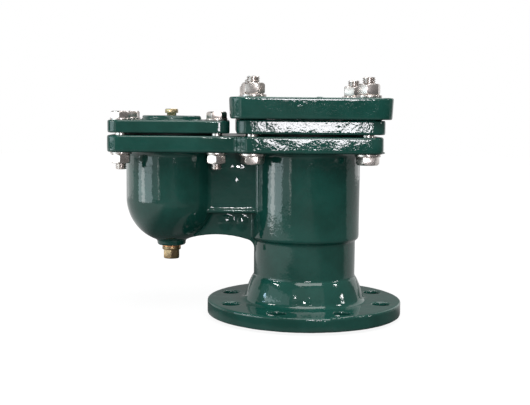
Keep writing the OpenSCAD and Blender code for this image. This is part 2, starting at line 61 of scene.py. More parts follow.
def copy_solids(piece_name, *node_names):
    """Gives new pieces, one copy of each CAD solid, each merged into a closed skin."""
    bpy.ops.object.select_all(action="DESELECT")
    for node_name in node_names:
        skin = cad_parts[node_name].data.copy()
        skin.materials.clear()
        piece = bpy.data.objects.new(piece_name, skin)
        bpy.context.collection.objects.link(piece)
        piece.select_set(True)
        bpy.context.view_layer.objects.active = piece
    bpy.ops.object.mode_set(mode="EDIT")
    bpy.ops.mesh.select_all(action="SELECT")
    bpy.ops.mesh.remove_doubles(threshold=SOLID_MERGE)
    bpy.ops.object.mode_set(mode="OBJECT")
    return list(bpy.context.selected_objects)


def finish_with(piece, kind, **settings):
    """Adds one modifier to a piece and applies it."""
    pick(piece)
    modifier = piece.modifiers.new(kind.lower(), kind)
    for setting, value in settings.items():
        setattr(modifier, setting, value)
    bpy.ops.object.modifier_apply(modifier=modifier.name)


def combine(piece, other, operation):
    """Joins, cuts or trims a piece with another one, which is used up."""
    finish_with(piece, "BOOLEAN", object=other, operation=operation, solver="EXACT")
    bpy.data.objects.remove(other, do_unlink=True)


def add_cast_nub(size, place, turn_angle=0.0):
    """Adds a small block with rounded edges, as a gate stub or a raised mark on a casting."""
    bpy.ops.object.select_all(action="DESELECT")
    bpy.ops.mesh.primitive_cube_add(size=1, location=place, rotation=(0, 0, turn_angle))
    nub = bpy.context.object
    nub.scale = size
    bpy.ops.object.transform_apply(location=True, rotation=True, scale=True)
    finish_with(nub, "BEVEL", width=NUB_ROUNDING * min(size), segments=3)
    return nub


def cast_skin(piece, name, voxel, is_cast, lump_depth, most_triangles):
    """Turns a sharp solid into a casting: soft edges, and sand lumps where is_cast says so."""
    finish_with(piece, "REMESH", mode="VOXEL", voxel_size=voxel)
    finish_with(piece, "SMOOTH", factor=0.5, iterations=2)
    skin = piece.vertex_groups.new(name="cast_skin")
    skin.add([vertex.index for vertex in piece.data.vertices if is_cast(vertex.co)], 1.0, "REPLACE")
    finish_with(
        piece, "DISPLACE", texture=sand_lumps, texture_coords="LOCAL", direction="NORMAL",
        vertex_group="cast_skin", strength=lump_depth, mid_level=LUMP_MIDDLE,
    )
    triangles = 2 * len(piece.data.polygons)
    if triangles > most_triangles:
        finish_with(piece, "DECIMATE", ratio=most_triangles / triangles)
    bpy.ops.object.shade_smooth()
    piece.name = name
    piece.data.name = name


def new_group(name, inputs, outputs):
    """Starts a shader group with named sockets, and gives it with its two ends."""
    group = bpy.data.node_groups.new(name, "ShaderNodeTree")
    for socket_name, socket_kind, value in inputs:
        socket = group.interface.new_socket(socket_name, in_out="INPUT", socket_type=socket_kind)
        if value is not None:
            socket.default_value = value
    for socket_name, socket_kind in outputs:
        group.interface.new_socket(socket_name, in_out="OUTPUT", socket_type=socket_kind)
    return group, group.nodes.new("NodeGroupInput"), group.nodes.new("NodeGroupOutput")


def add_noise(tree, vector, scale, detail, roughness=0.5):
    """Adds a noise pattern on the given coordinates and gives its node."""
    noise = tree.nodes.new("ShaderNodeTexNoise")
    noise.inputs["Detail"].default_value = detail
    noise.inputs["Roughness"].default_value = roughness
    tree.links.new(vector, noise.inputs["Vector"])
    if isinstance(scale, bpy.types.NodeSocket):
        tree.links.new(scale, noise.inputs["Scale"])
    else:
        noise.inputs["Scale"].default_value = scale
    return noise


def add_ramp(tree, value, low, high, low_result=0.0, high_result=1.0):
    """Maps a value smoothly from one span to another and gives the result's socket."""
    ramp = tree.nodes.new("ShaderNodeMapRange")
    ramp.interpolation_type = "SMOOTHSTEP"
    ramp.inputs["From Min"].default_value = low
    ramp.inputs["From Max"].default_value = high
    ramp.inputs["To Min"].default_value = low_result
    ramp.inputs["To Max"].default_value = high_result
    tree.links.new(value, ramp.inputs["Value"])
    return ramp.outputs["Result"]


def add_math(tree, operation, first, second):
    """Adds one sum of two sockets or numbers and gives its socket."""
    sum_node = tree.nodes.new("ShaderNodeMath")
    sum_node.operation = operation
    for value, socket in ((first, sum_node.inputs[0]), (second, sum_node.inputs[1])):
        if isinstance(value, bpy.types.NodeSocket):
            tree.links.new(value, socket)
        else:
            socket.default_value = value
    return sum_node.outputs[0]


def add_mix(tree, share, first, second):
    """Mixes two colours by a share and gives the colour's socket."""
    mix = tree.nodes.new("ShaderNodeMix")
    mix.data_type = "RGBA"
    tree.links.new(share, mix.inputs["Factor"])
    colour_sockets = [socket for socket in mix.inputs if socket.type == "RGBA"]
    for value, socket in zip((first, second), colour_sockets):
        if isinstance(value, bpy.types.NodeSocket):
            tree.links.new(value, socket)
        else:
            socket.default_value = (*value, 1.0)
    return [socket for socket in mix.outputs if socket.type == "RGBA"][0]


def new_finish(name):
    """Starts a material and gives it with its tree, its shader and its Object coordinates."""
    finish = bpy.data.materials.new(name)
    finish.use_nodes = True
    tree = finish.node_tree
    place = tree.nodes.new("ShaderNodeTexCoord").outputs["Object"]
    return finish, tree, tree.nodes["Principled BSDF"], place


def use_group(tree, group, vector, **values):
    """Places a shader group in a material with its own values."""
    node = tree.nodes.new("ShaderNodeGroup")
    node.node_tree = group
    tree.links.new(vector, node.inputs["Vector"])
    for socket_name, value in values.items():
        node.inputs[socket_name].default_value = value
    return node.outputs


def add_bump(tree, shader, height, depth):
    """Feeds a height, times a depth in metres, to the shader's normal."""
    bump = tree.nodes.new("ShaderNodeBump")
    bump.inputs["Strength"].default_value = 1.0
    bump.inputs["Distance"].default_value = depth
    tree.links.new(height, bump.inputs["Height"])
    tree.links.new(bump.outputs["Normal"], shader.inputs["Normal"])


lumpy_skin, skin_in, skin_out = new_group(
    "lumpy_skin",
    [
        ("Vector", "NodeSocketVector", None),
        ("Lumps", "NodeSocketFloat", 90.0),
        ("Peel", "NodeSocketFloat", 520.0),
        ("Blotches", "NodeSocketFloat", 22.0),
    ],
    [("Height", "NodeSocketFloat"), ("Blotch", "NodeSocketFloat"), ("Fine", "NodeSocketFloat")],
)
lumps = add_noise(lumpy_skin, skin_in.outputs["Vector"], skin_in.outputs["Lumps"], 1.5)
peel = add_noise(lumpy_skin, skin_in.outputs["Vector"], skin_in.outputs["Peel"], 1.0)
blotches = add_noise(lumpy_skin, skin_in.outputs["Vector"], skin_in.outputs["Blotches"], 3.0, 0.6)
skin_height = add_math(lumpy_skin, "ADD", lumps.outputs["Fac"], peel.outputs["Fac"])
lumpy_skin.links.new(skin_height, skin_out.inputs["Height"])
lumpy_skin.links.new(add_ramp(lumpy_skin, blotches.outputs["Fac"], 0.35, 0.65), skin_out.inputs["Blotch"])
lumpy_skin.links.new(add_ramp(lumpy_skin, peel.outputs["Fac"], 0.3, 0.7), skin_out.inputs["Fine"])

edges_and_hollows, edge_in, edge_out = new_group(
    "edges_and_hollows",
    [("Vector", "NodeSocketVector", None), ("Breakup", "NodeSocketFloat", 300.0)],
    [("Edge", "NodeSocketFloat"), ("Hollow", "NodeSocketFloat")],
)
pointed = edges_and_hollows.nodes.new("ShaderNodeNewGeometry").outputs["Pointiness"]
breakup = add_noise(edges_and_hollows, edge_in.outputs["Vector"], edge_in.outputs["Breakup"], 3.0)
edge_share = add_ramp(edges_and_hollows, pointed, 0.52, 0.6)
edge_left = add_ramp(edges_and_hollows, breakup.outputs["Fac"], 0.35, 0.7, 0.3, 1.0)
worn = add_math(edges_and_hollows, "MULTIPLY", edge_share, edge_left)
edges_and_hollows.links.new(worn, edge_out.inputs["Edge"])
# Hollow marks concave places, which the enamel darkens as painted shade.
hollow = add_ramp(edges_and_hollows, pointed, 0.48, 0.4)
edges_and_hollows.links.new(hollow, edge_out.inputs["Hollow"])


ENAMEL_DARK = (0.006, 0.05, 0.038)
ENAMEL_LIGHT = (0.0095, 0.068, 0.053)
# The next colour is painted shade, laid into hollows and creases where shade falls.
ENAMEL_HOLLOW_SHADE = (0.0035, 0.031, 0.022)
ENAMEL_THIN = (0.018, 0.105, 0.08)
ENAMEL_THIN_SHARE = 0.5
ENAMEL_ROUGHNESS = (0.04, 0.08)
ENAMEL_LUMPS = 160.0
ENAMEL_PEEL = 420.0


def enamel_finish(name, bump_depth):
    """Makes the glossy green enamel: paler where it is thin on an edge, with painted shade darkening its
    hollows.
    """
    finish, tree, shader, place = new_finish(name)
    skin = use_group(tree, lumpy_skin, place, Lumps=ENAMEL_LUMPS, Peel=ENAMEL_PEEL)
    edges = use_group(tree, edges_and_hollows, place)
    colour = add_mix(tree, skin["Blotch"], ENAMEL_DARK, ENAMEL_LIGHT)
    # Painted shade: the enamel is darkened in its hollows, where shade falls.
    colour = add_mix(tree, edges["Hollow"], colour, ENAMEL_HOLLOW_SHADE)
    thin = add_math(tree, "MULTIPLY", edges["Edge"], ENAMEL_THIN_SHARE)
    colour = add_mix(tree, thin, colour, ENAMEL_THIN)
    tree.links.new(colour, shader.inputs["Base Color"])
    tree.links.new(add_ramp(tree, skin["Fine"], 0.0, 1.0, *ENAMEL_ROUGHNESS), shader.inputs["Roughness"])
    add_bump(tree, shader, skin["Height"], bump_depth)
    return finish


body_enamel = enamel_finish("body_enamel", 0.06 * MM)
cover_enamel = enamel_finish("cover_enamel", 0.05 * MM)

sand_lumps = bpy.data.textures.new("sand_lumps", type="CLOUDS")
sand_lumps.noise_scale = 14 * MM
sand_lumps.noise_depth = 2

COLUMN_BORE = 56 * MM
BOWL_AXIS_X = -151 * MM
BOWL_BORE = 46 * MM
GASKET_FACE_Z = 204.5 * MM
FLANGE_FACE_Z = 0.5 * MM


def is_body_skin(point):
    """True on the painted outside of the body, away from its bores and its machined faces."""
    if point.z > GASKET_FACE_Z or point.z < FLANGE_FACE_Z:
        return False
    if math.hypot(point.x, point.y) < COLUMN_BORE:
        return False
    return math.hypot(point.x - BOWL_AXIS_X, point.y) > BOWL_BORE


def add_bead(length, place, out, up):
    """Adds a rounded bar along X, for the bead of enamel under the duct."""
    bpy.ops.object.select_all(action="DESELECT")
    bpy.ops.mesh.primitive_cylinder_add(
        vertices=48, radius=1, depth=length, location=place, rotation=(0, math.pi / 2, 0),
    )
    bead = bpy.context.object
    bead.scale = (up, out, 1)
    bpy.ops.object.transform_apply(location=True, rotation=True, scale=True)
    return bead


BODY_VOXEL = 1.3 * MM
BODY_LUMP_DEPTH = 0.25 * MM
BODY_TRIANGLES = 190000
SWELL_DEPTH = 2 * MM
HUB_SWELL_SHARE = 0.35
HUB_SKIN = 54 * MM
HUB_FOOT_Z = 23.5 * MM
HUB_TOP_Z = 46 * MM
WEB_FACE = (12.5 * MM, 16 * MM)
WEB_SWELL_Z = 107.5 * MM
WEB_SWELL_UP = 9.5 * MM
WEB_SWELLS = ((-89.5 * MM, 9.5 * MM), (-72 * MM, 7 * MM))


def swell_share(point):
    """Gives how far the mould swells at a point: round the hub, and at two places on the web."""
    if HUB_FOOT_Z < point.z < HUB_TOP_Z and math.hypot(point.x, point.y) > HUB_SKIN:
        height_share = (point.z - HUB_FOOT_Z) / (HUB_TOP_Z - HUB_FOOT_Z)
        return HUB_SWELL_SHARE * math.sin(math.pi * height_share)
    if not WEB_FACE[0] < abs(point.y) < WEB_FACE[1]:
        return 0.0
    up = (point.z - WEB_SWELL_Z) / WEB_SWELL_UP
    return max(0.0, *(1 - up ** 2 - ((point.x - x) / reach) ** 2 for x, reach in WEB_SWELLS))


body_parts = copy_solids("body_casting", "column", "bowl", "body_plate")
body_casting = body_parts[0]
for body_part in body_parts[1:]:
    combine(body_casting, body_part, "UNION")
rim_mark = add_cast_nub((9 * MM, 4 * MM, 13 * MM), (16 * MM, -107.9 * MM, 11 * MM), math.radians(8.5))
combine(body_casting, rim_mark, "UNION")
for side in (-1, 1):
    duct_bead = add_bead(56 * MM, (-82 * MM, side * 26.4 * MM, 121.4 * MM), 2.4 * MM, 2.6 * MM)
    combine(body_casting, duct_bead, "UNION")
for nub_size, nub_place in (
    ((9 * MM, 3 * MM, 3 * MM), (-75.5 * MM, -26.6 * MM, 168.6 * MM)),
    ((3 * MM, 3 * MM, 3 * MM), (-84.5 * MM, -26.6 * MM, 169.4 * MM)),
    ((3.4 * MM, 3 * MM, 4 * MM), (-79 * MM, -26.6 * MM, 154 * MM)),
):
    combine(body_casting, add_cast_nub(nub_size, nub_place), "UNION")
plate_flash = add_cast_nub((7 * MM, 4 * MM, 1.8 * MM), (77.3 * MM, -58 * MM, 188.0 * MM))
combine(body_casting, plate_flash, "UNION")
cast_skin(body_casting, "body_casting", BODY_VOXEL, is_body_skin, BODY_LUMP_DEPTH, BODY_TRIANGLES)
swell = body_casting.vertex_groups.new(name="swell")
for vertex in body_casting.data.vertices:
    swell.add([vertex.index], swell_share(vertex.co), "REPLACE")
finish_with(
    body_casting, "DISPLACE", direction="NORMAL", vertex_group="swell", strength=SWELL_DEPTH, mid_level=0.0,
)
body_casting.data.materials.append(body_enamel)
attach(body_casting, "valve")
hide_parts("column", "bowl", "body_plate")


# Large float ball: a hollow ball of two pressed stainless steel halves, welded together round the middle.
# It rests on the ribs in the column, and rising water lifts it against the seat ring.
PROFILE_MERGE = 0.002 * MM


def draw_profile(name, points, closed=False):
    """Draws a chain of points, as (radius, height), by extruding one vertex along it in the XZ plane."""
    bpy.ops.object.select_all(action="DESELECT")
    radius, height = points[0]
    bpy.ops.mesh.primitive_plane_add(size=1 * MM, location=(radius, 0, height))
    profile = bpy.context.object
    profile.name = name
    bpy.ops.object.transform_apply(location=True, rotation=True, scale=True)
    bpy.ops.object.mode_set(mode="EDIT")
    bpy.ops.mesh.select_mode(type="VERT")
    bpy.ops.mesh.select_all(action="SELECT")
    bpy.ops.mesh.merge(type="CENTER")
    stops = list(points[1:])
    if closed:
        stops.append(points[0])
    for next_radius, next_height in stops:
        step = (next_radius - radius, 0, next_height - height)
        bpy.ops.mesh.extrude_region_move(TRANSFORM_OT_translate={"value": step})
        radius, height = next_radius, next_height
    bpy.ops.mesh.select_all(action="SELECT")
    bpy.ops.mesh.remove_doubles(threshold=PROFILE_MERGE)
    bpy.ops.object.mode_set(mode="OBJECT")
    return profile


def turn(name, points, steps, closed=False):
    """Turns a profile about the Z axis, as on a lathe, and closes its seam and poles."""
    piece = draw_profile(name, points, closed)
    bpy.ops.object.mode_set(mode="EDIT")
    bpy.ops.mesh.select_all(action="SELECT")
    bpy.ops.mesh.spin(steps=steps, angle=math.tau, center=(0, 0, 0), axis=(0, 0, 1))
    bpy.ops.mesh.select_all(action="SELECT")
    bpy.ops.mesh.remove_doubles(threshold=PROFILE_MERGE)
    bpy.ops.mesh.normals_make_consistent(inside=False)
    bpy.ops.object.mode_set(mode="OBJECT")
    return piece


def move_to(piece, x, y, z=0.0, turn_degrees=0.0):
    """Turns a piece about Z, sets it in its place and applies both to its mesh."""
    pick(piece)
    piece.rotation_euler = (0, 0, math.radians(turn_degrees))
    piece.location = (x, y, z)
    bpy.ops.object.transform_apply(location=True, rotation=True, scale=True)


def smooth_by_angle(piece, degrees):
    """Smooths a piece's shading, apart from edges sharper than the angle."""
    pick(piece)
    bpy.ops.object.shade_smooth_by_angle(angle=math.radians(degrees))


tool_marks, marks_in, marks_out = new_group(
    "tool_marks",
    [
        ("Vector", "NodeSocketVector", None),
        ("Around", "NodeSocketFloat", 250.0),
        ("Along", "NodeSocketFloat", 2600.0),
        ("Stains", "NodeSocketFloat", 160.0),
    ],
    [("Groove", "NodeSocketFloat"), ("Stain", "NodeSocketFloat")],
)
marks_scale = marks_in.outputs
stretch = tool_marks.nodes.new("ShaderNodeCombineXYZ")
tool_marks.links.new(marks_scale["Around"], stretch.inputs["X"])
tool_marks.links.new(marks_scale["Around"], stretch.inputs["Y"])
tool_marks.links.new(marks_scale["Along"], stretch.inputs["Z"])
stretched = tool_marks.nodes.new("ShaderNodeVectorMath")
stretched.operation = "MULTIPLY"
tool_marks.links.new(marks_scale["Vector"], stretched.inputs[0])
tool_marks.links.new(stretch.outputs["Vector"], stretched.inputs[1])
grooves = add_noise(tool_marks, stretched.outputs["Vector"], 1.0, 2.0)
stains = add_noise(tool_marks, marks_scale["Vector"], marks_scale["Stains"], 4.0, 0.6)
tool_marks.links.new(grooves.outputs["Fac"], marks_out.inputs["Groove"])
tool_marks.links.new(add_ramp(tool_marks, stains.outputs["Fac"], 0.38, 0.68), marks_out.inputs["Stain"])


METAL_EDGE_BREAKUP = 900.0


def metal_finish(
    name, bright, stained, worn_edge, gloss, groove_depth, around=250.0, along=2600.0, stain=160.0,
):
    """Makes a bare metal with tool marks, stains and bright edges; gloss gives its span of roughness."""
    finish, tree, shader, place = new_finish(name)
    marks = use_group(tree, tool_marks, place, Around=around, Along=along, Stains=stain)
    edges = use_group(tree, edges_and_hollows, place, Breakup=METAL_EDGE_BREAKUP)
    colour = add_mix(tree, marks["Stain"], bright, stained)
    colour = add_mix(tree, edges["Edge"], colour, worn_edge)
    tree.links.new(colour, shader.inputs["Base Color"])
    shader.inputs["Metallic"].default_value = 1.0
    tree.links.new(add_ramp(tree, marks["Groove"], 0.3, 0.7, *gloss), shader.inputs["Roughness"])
    add_bump(tree, shader, marks["Groove"], groove_depth)
    return finish


float_steel = metal_finish(
    "float_steel", (0.6, 0.6, 0.6), (0.5, 0.49, 0.48), (0.7, 0.7, 0.7), (0.2, 0.3), 0.006 * MM,
)

ROUND_SHADING = 40
BALL_STEPS = 96
LARGE_BALL_RADIUS = 45 * MM
large_ball_low, large_ball_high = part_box("large_float")
large_ball_z = (large_ball_low.z + large_ball_high.z) / 2


def ball_points(radius, weld_height, weld_half_width, count):
    """Gives half of a round profile with a low bead round its middle."""
    points = []
    for i in range(count + 1):
        angle = -math.pi / 2 + math.pi * i / count
        bead = max(0.0, 1.0 - (radius * math.sin(angle) / weld_half_width) ** 2)
        reach = radius - weld_height + weld_height * bead
        points.append((max(0.0, reach * math.cos(angle)), reach * math.sin(angle)))
    points[0] = (0.0, points[0][1])
    points[-1] = (0.0, points[-1][1])
    return points


large_float = turn("large_float_ball", ball_points(LARGE_BALL_RADIUS, 0.25 * MM, 1.8 * MM, 100), BALL_STEPS)
move_to(large_float, 0, 0, large_ball_z)
smooth_by_angle(large_float, ROUND_SHADING)
large_float.data.materials.append(float_steel)
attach(large_float, "large_ball")
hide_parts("large_float")


# Seat ring: a moulded black rubber ring, held under the orifice cover, which the large ball closes on.
# The two flat rubber gaskets seal the covers on the body's machined face.
black_rubber, rubber_tree, rubber, rubber_place = new_finish("black_rubber")
rubber_skin = use_group(rubber_tree, lumpy_skin, rubber_place, Lumps=260.0, Peel=1500.0, Blotches=60.0)
rubber_colour = add_mix(rubber_tree, rubber_skin["Blotch"], (0.006, 0.006, 0.006), (0.012, 0.012, 0.011))
rubber_tree.links.new(rubber_colour, rubber.inputs["Base Color"])
rubber_gloss = add_ramp(rubber_tree, rubber_skin["Fine"], 0.0, 1.0, 0.5, 0.75)
rubber_tree.links.new(rubber_gloss, rubber.inputs["Roughness"])
rubber.inputs["Specular IOR Level"].default_value = 0.25
add_bump(rubber_tree, rubber, rubber_skin["Height"], 0.06 * MM)

for rubber_node in ("seat_ring", "large_gasket", "small_gasket"):
    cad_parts[rubber_node].data.materials.clear()
    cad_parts[rubber_node].data.materials.append(black_rubber)


# Small float ball: a hollow moulded rubber ball with a faint mould line round its middle.
# It rides in the bowl under the nozzle, and shuts its hole when the bowl is full.
SMALL_BALL_RADIUS = 34 * MM
small_ball_low, small_ball_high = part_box("small_float")
small_ball_z = (small_ball_low.z + small_ball_high.z) / 2

small_float = turn("small_float_ball", ball_points(SMALL_BALL_RADIUS, 0.15 * MM, 0.6 * MM, 120), BALL_STEPS)
move_to(small_float, BOWL_AXIS_X, 0, small_ball_z)
smooth_by_angle(small_float, ROUND_SHADING)
small_float.data.materials.append(black_rubber)
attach(small_float, "small_ball")
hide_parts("small_float")


# Orifice cover: a square iron plate with a round hole in its middle, cast and enamelled like the body.
# It lies on the large gasket, and carries the seat ring in a groove under its hole.
ORIFICE_WALL = 40 * MM
COVER_FOOT_Z = 208 * MM
COVER_VOXEL = 0.8 * MM
COVER_LUMP_DEPTH = 0.16 * MM
COVER_TRIANGLES = 120000


def is_orifice_cover_skin(point):
    """True on the painted outside of the orifice cover."""
    return math.hypot(point.x, point.y) > ORIFICE_WALL and point.z > COVER_FOOT_Z


orifice_cover = copy_solids("orifice_cover_casting", "orifice_cover")[0]
cast_skin(
    orifice_cover, "orifice_cover_casting", COVER_VOXEL, is_orifice_cover_skin,
    COVER_LUMP_DEPTH, COVER_TRIANGLES,
)
orifice_cover.data.materials.append(cover_enamel)
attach(orifice_cover, "valve")
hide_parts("orifice_cover")


# Cowl: a hollow square iron hood over the large orifice, which keeps dirt out and lets air leave all round.
# It stands on four bosses, a thin slit above the orifice cover, and the long bolts hold it down.
COWL_FOOT_Z = 224 * MM
COWL_VOXEL = 0.9 * MM
COWL_TRIANGLES = 160000


def is_cowl_skin(point):
    """True on the painted outside of the cowl."""
    return point.z > COWL_FOOT_Z


cowl = copy_solids("cowl_casting", "cowl")[0]
cowl_gate = add_cast_nub((6 * MM, 4 * MM, 2 * MM), (7 * MM, -84 * MM, 246.1 * MM))
combine(cowl, cowl_gate, "UNION")
cast_skin(cowl, "cowl_casting", COWL_VOXEL, is_cowl_skin, COVER_LUMP_DEPTH, COWL_TRIANGLES)
cowl.data.materials.append(cover_enamel)
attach(cowl, "valve")
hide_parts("cowl")


# Nozzle cover: a square iron plate that closes the bowl, with a round pad in its middle for the nozzle.
# It is cast and enamelled, and lies on the small gasket.
NOZZLE_WALL = 8 * MM


def is_nozzle_cover_skin(point):
    """True on the painted outside of the nozzle cover."""
    return point.z > COVER_FOOT_Z and math.hypot(point.x - BOWL_AXIS_X, point.y) > NOZZLE_WALL


nozzle_cover = copy_solids("nozzle_cover_casting", "nozzle_cover")[0]
cast_skin(
    nozzle_cover, "nozzle_cover_casting", COVER_VOXEL, is_nozzle_cover_skin,
    COVER_LUMP_DEPTH, COVER_TRIANGLES,
)
nozzle_cover.data.materials.append(cover_enamel)
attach(nozzle_cover, "valve")
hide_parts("nozzle_cover")


# Nozzle: a turned brass screw with a small hex head and a fine hole down its axis.
# It is screwed through the pad of the nozzle cover, and its lower tip is the small ball's seat.
def hex_block(name, across_flats, low, high, chamfer_low=True, chamfer_high=True):
    """Makes a hexagon with chamfered corners at the ends asked for, and with its edges broken."""
    corner = across_flats / 2 / math.cos(math.pi / 6)
    drop = 0.12 * across_flats
    spare = 0.1 * MM
    bpy.ops.object.select_all(action="DESELECT")
    bpy.ops.mesh.primitive_cylinder_add(
        vertices=6, radius=corner, depth=high - low, location=(0, 0, (low + high) / 2),
        rotation=(0, 0, math.radians(30)),
    )
    block = bpy.context.object
    block.name = name
    bpy.ops.object.transform_apply(location=True, rotation=True, scale=True)
    wide = corner * 1.05
    end = 0.48 * across_flats
    low_end = [(0, low - spare)]
    low_end += [(end, low - spare), (wide, low + drop)] if chamfer_low else [(wide, low - spare)]
    high_end = [(wide, high - drop), (end, high + spare)] if chamfer_high else [(wide, high + spare)]
    high_end += [(0, high + spare)]
    barrel = turn(name + "_barrel", low_end + high_end, 72)
    combine(block, barrel, "INTERSECT")
    finish_with(
        block, "BEVEL", width=0.012 * across_flats, segments=2, limit_method="ANGLE",
        angle_limit=math.radians(35),
    )
    return block


brass = metal_finish(
    "brass", (0.58, 0.47, 0.28), (0.42, 0.33, 0.18), (0.75, 0.64, 0.42), (0.2, 0.34), 0.008 * MM,
    around=120.0, along=2200.0,
)

EDGED_SHADING = 32
nozzle_head = hex_block("nozzle_head", 13 * MM, 228.6 * MM, 233.3 * MM, chamfer_low=False)
nozzle_shank = turn("nozzle_shank", [
    (0, 204.5 * MM), (2.6 * MM, 204.5 * MM), (3.6 * MM, 206.0 * MM), (5.25 * MM, 209.0 * MM),
    (5.25 * MM, 228.0 * MM), (5.6 * MM, 228.7 * MM), (0, 229.2 * MM),
], 48)
combine(nozzle_head, nozzle_shank, "UNION")
nozzle_hole = turn("nozzle_hole", [
    (0, 204.0 * MM), (1.2 * MM, 204.0 * MM), (1.2 * MM, 232.1 * MM),
    (2.6 * MM, 233.6 * MM), (0, 233.6 * MM),
], 32)
combine(nozzle_head, nozzle_hole, "DIFFERENCE")
nozzle_head.name = "vent_nozzle"
move_to(nozzle_head, BOWL_AXIS_X, 0, 0, 15)
smooth_by_angle(nozzle_head, EDGED_SHADING)
nozzle_head.data.materials.append(brass)
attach(nozzle_head, "valve")
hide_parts("nozzle")


# Drain plug: a brass plug with a hex head, a collar and a pipe thread, screwed into the boss under the bowl.
# A soft copper ring seals it, and both come down together as it is unscrewed.
THREAD_STEPS = 28
TIP_SPARE = 0.02 * MM


def threaded_rod(name, radius, pitch, low, high, chamfer):
    """Makes a rod with a rolled thread up to its end, which has a small chamfer."""
    root = radius - 0.6 * pitch
    turns = math.ceil((high - low) / pitch) + 2
    start = low - pitch
    ridge = [
        (root, start), (root, start + 0.15 * pitch), (radius, start + 0.45 * pitch),
        (radius, start + 0.62 * pitch), (root, start + pitch),
    ]
    rod = draw_profile(name, ridge)
    finish_with(
        rod, "SCREW", axis="Z", angle=math.tau, screw_offset=pitch, iterations=turns,
        steps=THREAD_STEPS, render_steps=THREAD_STEPS,
        use_merge_vertices=True, merge_threshold=PROFILE_MERGE, use_smooth_shade=False,
    )
    bpy.ops.object.mode_set(mode="EDIT")
    bpy.ops.mesh.select_all(action="SELECT")
    bpy.ops.mesh.remove_doubles(threshold=PROFILE_MERGE)
    bpy.ops.mesh.normals_make_consistent(inside=False)
    for cut, side in ((low, -1), (high, 1)):
        bpy.ops.mesh.select_all(action="SELECT")
        bpy.ops.mesh.bisect(plane_co=(0, 0, cut), plane_no=(0, 0, side), use_fill=True, clear_outer=True)
    bpy.ops.mesh.select_all(action="SELECT")
    bpy.ops.mesh.normals_make_consistent(inside=False)
    bpy.ops.object.mode_set(mode="OBJECT")
    wide = 1.1 * radius
    tip = turn(name + "_tip", [
        (0, low - 1 * MM), (wide, low - 1 * MM), (wide, high - 1.1 * chamfer),
        (radius - chamfer, high + TIP_SPARE), (0, high + TIP_SPARE),
    ], 48)
    combine(rod, tip, "INTERSECT")
    return rod


def join_pieces(name, pieces):
    """Joins several closed meshes into one piece."""
    bpy.ops.object.select_all(action="DESELECT")
    for piece in pieces:
        piece.select_set(True)
    bpy.context.view_layer.objects.active = pieces[0]
    bpy.ops.object.join()
    joined = bpy.context.view_layer.objects.active
    joined.name = name
    joined.data.name = name
    return joined


plug_brass = metal_finish(
    "plug_brass", (0.31, 0.215, 0.115), (0.19, 0.135, 0.08), (0.44, 0.34, 0.21), (0.28, 0.4), 0.008 * MM,
    around=140.0, along=2400.0,
)
plug_copper = metal_finish(
    "plug_copper", (0.56, 0.26, 0.11), (0.4, 0.18, 0.08), (0.7, 0.4, 0.22), (0.25, 0.36), 0.008 * MM,
    around=140.0, along=2400.0,
)
plug_head = hex_block("plug_head", 17 * MM, 64.8 * MM, 75.2 * MM, chamfer_high=False)
move_to(plug_head, 0, 0, 0, 30)
plug_collar = turn("plug_collar", [
    (0, 74.8 * MM), (9.6 * MM, 74.8 * MM), (10.3 * MM, 75.2 * MM), (10.5 * MM, 75.9 * MM),
    (10.5 * MM, 77.6 * MM), (10.2 * MM, 78.3 * MM), (0, 78.3 * MM),
], 64)
plug_thread = threaded_rod("plug_thread", 8.0 * MM, 1.337 * MM, 78.2 * MM, 90.8 * MM, 0.8 * MM)
drain_plug = join_pieces("drain_plug_brass", [plug_head, plug_collar, plug_thread])
move_to(drain_plug, BOWL_AXIS_X, 0)
smooth_by_angle(drain_plug, EDGED_SHADING)
drain_plug.data.materials.append(plug_brass)
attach(drain_plug, "plug")
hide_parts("drain_plug")

plug_ring = turn("drain_plug_ring", [
    (8.4 * MM, 78.36 * MM), (10.1 * MM, 78.36 * MM), (10.5 * MM, 78.8 * MM), (10.5 * MM, 79.8 * MM),
    (10.1 * MM, 80.25 * MM), (8.4 * MM, 80.25 * MM),
], 64, closed=True)
move_to(plug_ring, BOWL_AXIS_X, 0)
smooth_by_angle(plug_ring, ROUND_SHADING)
plug_ring.data.materials.append(plug_copper)
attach(plug_ring, "plug_washer")
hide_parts("drain_plug_washer")


# Large bolts: four M14 stainless bolts, from below the body plate through the cover to the cowl's top.
# Each has a washer under its head and another under its nut, and some thread stands out above the nut.
bolt_steel = metal_finish(
    "bolt_steel", (0.62, 0.57, 0.54), (0.5, 0.455, 0.425), (0.74, 0.71, 0.68), (0.24, 0.3), 0.002 * MM,
    around=500.0, along=1500.0, stain=120.0,
)


def flat_washer(name, hole, width, low, high):
    """Turns a punched washer with slightly rounded edges."""
    inner = hole / 2
    outer = width / 2
    soft = 0.18 * (high - low)
    bend = 0.3 * soft
    return turn(name, [
        (inner, low), (outer - soft, low), (outer - bend, low + bend), (outer, low + soft),
        (outer, high - soft), (outer - bend, high - bend), (outer - soft, high), (inner, high),
    ], 64, closed=True)


def hex_nut(name, across_flats, thread_radius, low, high):
    """Makes a nut with both sides chamfered and a countersunk hole."""
    nut = hex_block(name, across_flats, low, high)
    hole = thread_radius - 0.4 * MM
    sink = thread_radius + 1.8 * MM
    drill = turn(name + "_drill", [
        (0, low - 1 * MM), (sink, low - 1 * MM), (hole, low + 1.2 * MM),
        (hole, high - 1.2 * MM), (sink, high + 1 * MM), (0, high + 1 * MM),
    ], 48)
    combine(nut, drill, "DIFFERENCE")
    return nut


def set_of_four(name, model, places, turns, node_name):
    """Copies one fastener to four places, each with its own turn, as one piece of bolt steel."""
    copies = []
    for (x, y), turn_degrees in zip(places, turns):
        copy = model.copy()
        copy.data = model.data.copy()
        bpy.context.collection.objects.link(copy)
        move_to(copy, x, y, 0, turn_degrees)
        copies.append(copy)
    bpy.data.objects.remove(model, do_unlink=True)
    piece = join_pieces(name, copies)
    smooth_by_angle(piece, EDGED_SHADING)
    piece.data.materials.append(bolt_steel)
    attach(piece, "valve")
    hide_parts(node_name)


